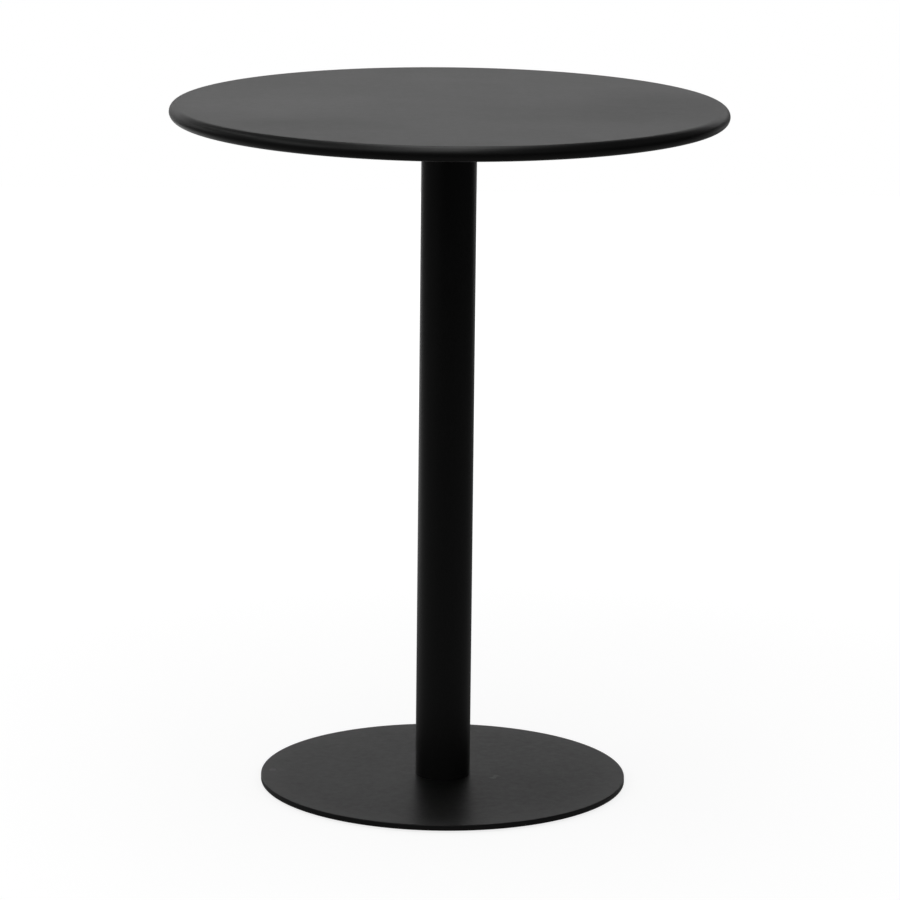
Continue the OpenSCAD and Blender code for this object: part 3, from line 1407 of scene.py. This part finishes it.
@dataclass
class DiscBase:
    """The round base plate, with its countersunk screws and its glides."""

    edge_round: float = 1 * MM
    edge_steps: int = 6
    under_round: float = 0.4 * MM
    under_steps: int = 3
    sides: int = 288
    rings: tuple[float, ...] = (2 * MM, 30 * MM, 40 * MM, 40 * MM, 40 * MM)
    head_r: float = 8 * MM
    head_edge: float = 0.3 * MM
    head_steps: int = 2
    head_sides: int = 64
    shank_r: float = 3.95 * MM
    socket_flats: float = 5 * MM
    socket_depth: float = 2.5 * MM
    screw_turns: tuple[float, ...] = (12.0, 40.0, 3.0, 27.0)    # in degrees
    socket_point: float = 0.6 * MM      # how far the socket's bottom narrows, and how deep
    point_depth: float = 0.4 * MM
    sink_gap: float = 0.3 * MM          # room round a screw's head and round its shank
    shank_gap: float = 0.1 * MM
    sink_sides: int = 48
    cut_past: float = 0.2 * MM
    glide_round: float = 1 * MM
    glide_steps: int = 5
    glide_sides: int = 72
    glide_rings: tuple[tuple[float, float], ...] = (
        (2.5 * MM, 0.0),                # width of each moulded ring, and how far it rises
        (0.4 * MM, 0.0),
        (0.5 * MM, 0.3 * MM),
        (0.4 * MM, -0.15 * MM),
        (5.0 * MM, 0.0),
        (0.3 * MM, 0.2 * MM),
    )

    def screw_spacing(self) -> float:
        """Distance of the screws from both middle planes."""
        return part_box("base_screws")[1].x - self.head_r

    def plate(self) -> Piece:
        """Makes the disc, softens its edges and countersinks it from beneath.

        Returns:
            The finished disc.
        """
        low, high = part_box("base_plate")
        radius = round_radius("base_plate")
        plate = Workpiece.cylinder("base_disc", radius, low.z, high.z, self.sides)
        plate.select_ring(high.z, radius).bevel(self.edge_round, self.edge_steps)
        plate.select_ring(low.z, radius).bevel(self.under_round, self.under_steps)
        for facing in (1.0, -1.0):
            plate.select_cap(facing).inset(*self.rings)
        cutter = Workpiece.cone(
            "cutter",
            self.head_r + self.sink_gap,
            self.shank_r + self.shank_gap,
            low.z - self.cut_past,
            low.z + self.head_r - self.shank_r,
            self.sink_sides,
        )
        return plate.cut(cutter.repeat(corner_places(self.screw_spacing()))).finish(Crease.TURNED)

    def screw(self) -> Piece:
        """Makes one countersunk screw on the axis, with a hexagon socket.

        Returns:
            The finished screw.
        """
        low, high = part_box("base_screws")
        cone_top = low.z + self.head_r - self.shank_r
        screw = Workpiece.cone(
            "screw", self.head_r, self.shank_r, low.z, cone_top, self.head_sides
        )
        screw.select_cap(1.0).extrude(high.z - cone_top)
        screw.select_ring(low.z, self.head_r).bevel(self.head_edge, self.head_steps)
        corner_r = corner_radius(self.socket_flats)
        bottom = low.z + self.socket_depth
        socket = Workpiece.cylinder("socket", corner_r, low.z - MM, bottom, HEXAGON)
        socket.select_cap(1.0).inset(self.socket_point).move(z=self.point_depth)
        put_tools_down()
        return screw.cut(socket).finish(Crease.TURNED)

    def glide(self, node: str) -> Piece:
        """Makes one glide: a disc with a round lower edge, a moulded groove and a gate mark.

        Args:
            node: The CAD node that it stands for.

        Returns:
            The finished glide.
        """
        low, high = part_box(node)
        middle = (low + high) / 2
        radius = (high.x - low.x) / 2
        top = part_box("base_plate")[0].z
        glide = Workpiece.cylinder(node + "_pad", radius, low.z, top, self.glide_sides)
        glide.select_ring(low.z, radius).bevel(self.glide_round, self.glide_steps)
        glide.select_cap(-1.0)
        for width, rise in self.glide_rings:
            glide.inset(width).move(z=rise)
        put_tools_down()
        glide.obj.data.transform(Matrix.Translation((middle.x, middle.y, 0.0)))
        return glide.finish(Crease.TURNED)

    def build_fasteners(self, oxide: Finish, nylon: Finish) -> None:
        """Makes the screws and the glides.

        Args:
            oxide: The finish of the screws.
            nylon: The finish of the glides.
        """
        places = corner_places(self.screw_spacing(), self.screw_turns)
        screws = lay_out(self.screw(), places, "countersunk_screws")
        hand_over(screws, oxide, "black_oxide", "base_screws")
        for node in sorted(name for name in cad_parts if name.startswith("glide_")):
            hand_over(self.glide(node), nylon, "nylon", node)


# ---- the studio


@dataclass(frozen=True)
class Panel:
    """A rectangle in the studio, square to the axes, that faces the table."""

    name: str
    low: tuple[float, float, float]
    high: tuple[float, float, float]

    def placement(self) -> tuple[Matrix, Vector]:
        """Works out how the panel stands.

        Returns:
            The transform of a panel that faces down its own Z axis, and its width and depth.
        """
        low, high = Vector(self.low), Vector(self.high)
        size = high - low
        across = min(range(3), key=lambda axis: size[axis])
        middle = (low + high) / 2
        facing = Vector((0.0, 0.0, 0.0))
        facing[across] = -1.0 if middle[across] > 0 else 1.0
        width = Vector((0.0, 1.0, 0.0)) if across == 0 else Vector((1.0, 0.0, 0.0))
        depth = width.cross(facing)
        turn = Matrix((width, depth, -facing)).transposed().to_4x4()
        spans = Vector((abs(size.dot(width)), abs(size.dot(depth))))
        return Matrix.Translation(middle) @ turn, spans


@dataclass(frozen=True)
class SoftBox(Panel):
    """A lamp behind a diffuser: a rectangle that glows evenly."""

    glow: float = 1.0           # radiance of the diffuser, where 1 is white

    def hang(self) -> None:
        """Hangs the lamp."""
        place, spans = self.placement()
        data = bpy.data.lights.new(self.name, "AREA")
        data.shape = "RECTANGLE"
        data.size, data.size_y = spans
        data.energy = self.glow * math.pi * spans.x * spans.y
        lamp = bpy.data.objects.new(self.name, data)
        lamp.matrix_world = place
        lamp.visible_camera = False
        bpy.context.scene.collection.objects.link(lamp)


@dataclass(frozen=True)
class Drape(Panel):
    """Dark or grey cloth round the table, which shows in its reflections and does nothing else."""

    tone: float = 0.0           # radiance with which it shows, where 1 is white

    def hang(self) -> None:
        """Hangs the cloth, which belongs to the stage."""
        place, spans = self.placement()
        put_tools_down()
        bpy.ops.mesh.primitive_plane_add(size=1.0)
        cloth = bpy.context.object
        cloth.name = self.name
        cloth.data.transform(place @ Matrix.Diagonal((spans.x, spans.y, 1.0, 1.0)))
        for seen in ("camera", "diffuse", "transmission", "volume_scatter", "shadow"):
            setattr(cloth, "visible_" + seen, False)
        recipe = Recipe.material(self.name)
        recipe.add("OutputMaterial", {"Surface": recipe.glow(self.tone)})
        recipe.owner.cycles.emission_sampling = "NONE"
        cloth.data.materials.append(recipe.owner)
        put_tools_down()


@dataclass(frozen=True)
class Floor:
    """A white floor that keeps the table's shade, and lies darker than the backdrop in gloss."""

    side: float = 8.0
    drop: float = 0.1 * MM
    paper: float = 0.30         # linear grey of the part that takes light and shade
    near_glow: float = 0.80     # what brings it to white, by the table and away from it
    far_glow: float = 1.0
    near: float = 0.6
    far: float = 2.6
    dim: Ramp = (-2.2, -0.2, 0.02, 0.10)        # its tone in gloss in front, along Y
    rise: Ramp = (-0.5, 3.0, 0.0, 1.0)          # what is added towards the back, along Y
    sideways: Ramp = (-1.5, 1.5, 1.1, 0.0)      # how much of that is left, along X
    outward: Ramp = (1.0, 1.9, 1.0, 0.1)        # and away from the middle
    pool: float = 0.19          # radius under the base within which it is lighter in gloss
    pool_tone: float = 0.3

    def in_gloss(self, recipe: Recipe) -> Socket:
        """The radiance with which the floor shows in reflections.

        Args:
            recipe: The material under way.

        Returns:
            The socket of the radiance.
        """
        part = recipe.add("SeparateXYZ", {0: recipe.place})
        x, y = part.outputs["X"], part.outputs["Y"]
        side = recipe.spread(x, *self.sideways)
        side = recipe.math("MULTIPLY", side, recipe.spread(recipe.math("ABSOLUTE", x), *self.outward))
        rise = recipe.math("MULTIPLY", side, recipe.spread(y, *self.rise))
        tone = recipe.math("ADD", rise, recipe.spread(y, *self.dim), clamp=True)
        under = recipe.math("LESS_THAN", recipe.radius(), self.pool)
        return recipe.math("MAXIMUM", tone, recipe.math("MULTIPLY", under, self.pool_tone))

    def lay(self) -> None:
        """Lays the floor, which belongs to the stage."""
        put_tools_down()
        bpy.ops.mesh.primitive_plane_add(size=self.side, location=(0.0, 0.0, -self.drop))
        floor = bpy.context.object
        floor.name = "studio_floor"
        bpy.ops.object.transform_apply(location=True)
        recipe = Recipe.material("studio_floor")
        rays = recipe.add("LightPath").outputs
        plain = recipe.math("ADD", rays["Is Camera Ray"], rays["Is Transmission Ray"], clamp=True)
        white = recipe.spread(recipe.radius(), self.near, self.far, self.near_glow, self.far_glow)
        glow = recipe.glow(recipe.math("MULTIPLY", plain, white))
        paper = recipe.add("BsdfDiffuse", {"Color": grey(self.paper)})
        seen = recipe.add("AddShader", {0: paper.outputs[0], 1: glow}).outputs[0]
        in_gloss = recipe.glow(self.in_gloss(recipe))
        seen = recipe.add("MixShader", {0: rays["Is Glossy Ray"], 1: seen, 2: in_gloss}).outputs[0]
        back = recipe.add("NewGeometry").outputs["Backfacing"]
        beneath = recipe.math("MULTIPLY", back, rays["Is Camera Ray"])
        clear = recipe.add("BsdfTransparent").outputs[0]
        surface = recipe.add("MixShader", {0: beneath, 1: seen, 2: clear})
        recipe.add("OutputMaterial", {"Surface": surface.outputs[0]})
        recipe.owner.cycles.emission_sampling = "NONE"
        floor.data.materials.append(recipe.owner)
        put_tools_down()


@dataclass(frozen=True)
class Studio:
    """White surroundings and a white floor, with soft boxes, and dark cloth where it was dark."""

    fill: float = 0.5           # radiance of the surroundings where they only light
    floor: Floor = Floor()
    lamps: tuple[SoftBox, ...] = (
        SoftBox("overhead_strip", (-0.3, -1.65, 2.4), (0.3, 0.5, 2.4), 1.7),
        SoftBox("overhead_tail", (-0.28, 0.5, 2.4), (0.2, 1.65, 2.4), 1.95),
        SoftBox("overhead_front", (-1.65, -2.75, 2.4), (0.41, -1.65, 2.4), 0.66),
        SoftBox("overhead_side", (-0.8, -1.65, 2.4), (-0.41, -0.5, 2.4), 0.7),
        SoftBox("left_high", (-2.0, -1.6, 1.95), (-2.0, 1.6, 2.4), 0.78),
        SoftBox("left_front", (-2.0, -1.6, 1.35), (-2.0, -0.5, 1.95), 0.7),
        SoftBox("left_back", (-2.0, 0.5, 0.75), (-2.0, 1.6, 1.35), 0.42),
        SoftBox("backdrop_wash", (-0.6, 2.0, 1.1), (0.6, 2.0, 1.5), 0.28),
    )
    drapes: tuple[Drape, ...] = (
        Drape("ceiling_drape", (-2.1, -3.2, 2.46), (2.1, 2.1, 2.46), 0.03),
        Drape("ceiling_left", (-2.1, -2.75, 2.45), (-0.35, 1.65, 2.45), 0.13),
        Drape("left_drape", (-2.1, -3.2, 0.0), (-2.1, 2.1, 2.46), 0.06),
        Drape("right_drape", (2.1, -3.2, 0.0), (2.1, 2.1, 2.46), 0.02),
        Drape("right_upper", (2.05, -3.2, 1.15), (2.05, 1.2, 2.44), 0.07),
        Drape("front_drape", (-2.1, -3.2, 0.0), (2.1, -3.2, 1.8), 0.02),
        Drape("front_upper", (-2.1, -3.15, 1.2), (2.1, -3.15, 1.8), 0.07),
        Drape("front_pelmet", (-2.1, -3.2, 1.8), (2.1, -3.2, 2.46), 0.3),
        Drape("back_drape", (-0.6, 2.05, 0.4), (0.6, 2.05, 1.1), 0.0),
        Drape("back_grey_left", (-2.1, 2.05, 0.4), (-0.6, 2.05, 1.1), 0.42),
        Drape("back_grey_right", (0.6, 2.05, 0.4), (2.1, 2.05, 1.1), 0.2),
        Drape("back_low_right", (0.9, 2.05, 0.0), (2.1, 2.05, 0.4), 0.4),
        Drape("back_upper", (-2.1, 2.1, 1.5), (2.1, 2.1, 2.46), 0.0),
        Drape("back_pelmet_left", (-1.6, 2.05, 1.5), (-0.6, 2.05, 2.2), 0.3),
        Drape("back_pelmet_right", (0.6, 2.05, 1.5), (1.6, 2.05, 2.2), 0.6),
    )

    def build_world(self) -> None:
        """Makes the surroundings: white to look at, and a plain level where they only light."""
        world = bpy.data.worlds.new("studio")
        bpy.context.scene.world = world
        recipe = Recipe(world)
        rays = recipe.add("LightPath").outputs
        seen = recipe.math("ADD", rays["Is Camera Ray"], rays["Is Glossy Ray"])
        seen = recipe.math("ADD", seen, rays["Is Transmission Ray"], clamp=True)
        extra = recipe.math("MULTIPLY", seen, 1.0 - self.fill)
        strength = recipe.math("ADD", extra, self.fill)
        glow = recipe.add("Background", {"Color": grey(1.0), "Strength": strength})
        recipe.add("OutputWorld", {"Surface": glow.outputs[0]})
        world.cycles.sampling_method = "NONE"

    def build(self) -> None:
        """Sets up the surroundings, the floor, the lamps and the drapes."""
        self.build_world()
        self.floor.lay()
        for panel in self.lamps + self.drapes:
            panel.hang()
            LOG.info("%s: studio", panel.name)
        bpy.context.scene.view_settings.view_transform = "Standard"


# ---- what is measured


@dataclass
class PointReport:
    """How far each thing shows from its image point, by the finished vertices that show."""

    camera: StudioCamera
    tree: BVHTree
    offsets: dict[str, list[float]] = field(default_factory=dict)

    def shown(self, piece: Piece) -> list[tuple[float, float]]:
        """The image places of a piece's vertices that nothing hides.

        Args:
            piece: The finished piece.

        Returns:
            The x and y of each such vertex, in pixels.
        """
        eye = self.camera.place()
        places = []
        for vertex in piece.data.vertices:
            towards = vertex.co - eye
            reach = towards.length
            hit = self.tree.ray_cast(eye, towards.normalized(), reach - MM)[0]
            if hit is None:
                places.append(self.camera.project(vertex.co))
        return places

    def note(self, point: ImagePoint, x: float | None, y: float | None) -> None:
        """Keeps how far a thing shows from its point, in x, in y or in both.

        Args:
            point: The image point.
            x: Where the thing shows, or None if only y counts.
            y: Where it shows, or None if only x counts.
        """
        self.offsets[point.name] = [
            None if seen is None else round(seen - wanted, 2)
            for seen, wanted in ((x, point.x), (y, point.y))
        ]

    def write(self) -> None:
        LOG.info("points: %s", self.offsets)


def measure_points(
    camera: StudioCamera,
    pieces: dict[str, Piece],
    marks: dict[ImagePoint, Vector],
) -> None:
    """Compares the finished pieces with the image points.

    Args:
        camera: The studio camera.
        pieces: The top, the column and the base disc, by name.
        marks: Where the patches and the rubs landed.
    """
    report = PointReport(camera, tree_of(pieces.values()))
    seen = {name: report.shown(piece) for name, piece in pieces.items()}
    whole = [place for places in seen.values() for place in places]
    report.note(OBJECT_LEFT, min(whole)[0], None)
    report.note(OBJECT_RIGHT, max(whole)[0], None)
    report.note(OBJECT_TOP, None, min(y for _, y in whole))
    report.note(OBJECT_BOTTOM, None, max(y for _, y in whole))
    report.note(RIM_FRONT, None, max(y for _, y in seen["top"]))
    row = [x for x, y in seen["column"] if abs(y - COLUMN_LEFT.y) < ROW_REACH]
    report.note(COLUMN_LEFT, min(row), None)
    report.note(COLUMN_RIGHT, max(row), None)
    report.note(COLUMN_FOOT, None, max(y for _, y in seen["column"]))
    report.note(BASE_LEFT, min(seen["base"])[0], None)
    report.note(BASE_RIGHT, max(seen["base"])[0], None)
    for point, place in marks.items():
        report.note(point, *camera.project(place))
    report.write()


def main() -> None:
    """Builds the camera, the table and the studio, and reports each piece."""
    logging.basicConfig(level=logging.INFO, format="%(name)s: %(message)s")
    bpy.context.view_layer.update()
    camera = StudioCamera()
    camera.build()

    frame_coat = PowderCoat("frame_coat", gloss_loss=0.42, clouding=0.04).make()
    top = RolledTop.from_frame().build()
    patches = {
        point: Patch(camera.land(point, top), length, depth, duller)
        for point, length, depth, duller in (
            (BLOOM_LEFT, 130 * MM, 130 * MM, -0.018),
            (BLOOM_BACK, 150 * MM, 60 * MM, -0.008),
            (SMEAR_FRONT, 120 * MM, 60 * MM, 0.018),
            (SMEAR_MIDDLE, 130 * MM, 80 * MM, 0.015),
            (SMEAR_RIGHT, 150 * MM, 170 * MM, 0.027),
        )
    }
    top_coat = PowderCoat("top_coat", patches=tuple(patches.values()))
    hand_over(top, top_coat.make(), "top_coat", "tabletop")
    BraceCross().build(frame_coat)
    BoltedJoint().build(frame_coat, ZINC_PLATE.make())
    Column().build(PowderCoat("column_coat").make(), frame_coat)

    disc = DiscBase()
    base = disc.plate()
    rubs = {
        SCUFF_DASH: Scuff(
            camera.land(SCUFF_DASH, base), turn=0.0, length=8 * MM, width=9 * MM, curl=0.5 * MM
        ),
        SCUFF_CURL: Scuff(
            camera.land(SCUFF_CURL, base), turn=0.5, length=14 * MM, width=7 * MM, curl=3 * MM
        ),
    }
    base_patches = {
        # painted sheen: a lighter patch on the base's left; the patch on the right is only duller
        PAINTED_SHEEN_LEFT: Patch(camera.land(PAINTED_SHEEN_LEFT, base), 160 * MM, 200 * MM, painted_sheen=0.009),
        DULL_RIGHT: Patch(camera.land(DULL_RIGHT, base), 110 * MM, 130 * MM, duller=0.04),
    }
    base_coat = PowderCoat(
        "base_coat",
        clouding=0.05,
        wiping=2.0,
        # painted sheen: a lighter band along the base's edge
        painted_sheen_edge=round_radius("base_plate"),
        patches=tuple(base_patches.values()),
        scuffs=tuple(rubs.values()),
    )
    hand_over(base, base_coat.make(), "base_coat", "base_plate")
    disc.build_fasteners(BLACK_OXIDE.make(), MouldedNylon().make())

    Studio().build()
    column = bpy.data.objects["column"]
    marks = {point: mark.place for point, mark in (patches | base_patches | rubs).items()}
    measure_points(camera, {"top": top, "column": column, "base": base}, marks)


if __name__ == "__main__":
    main()
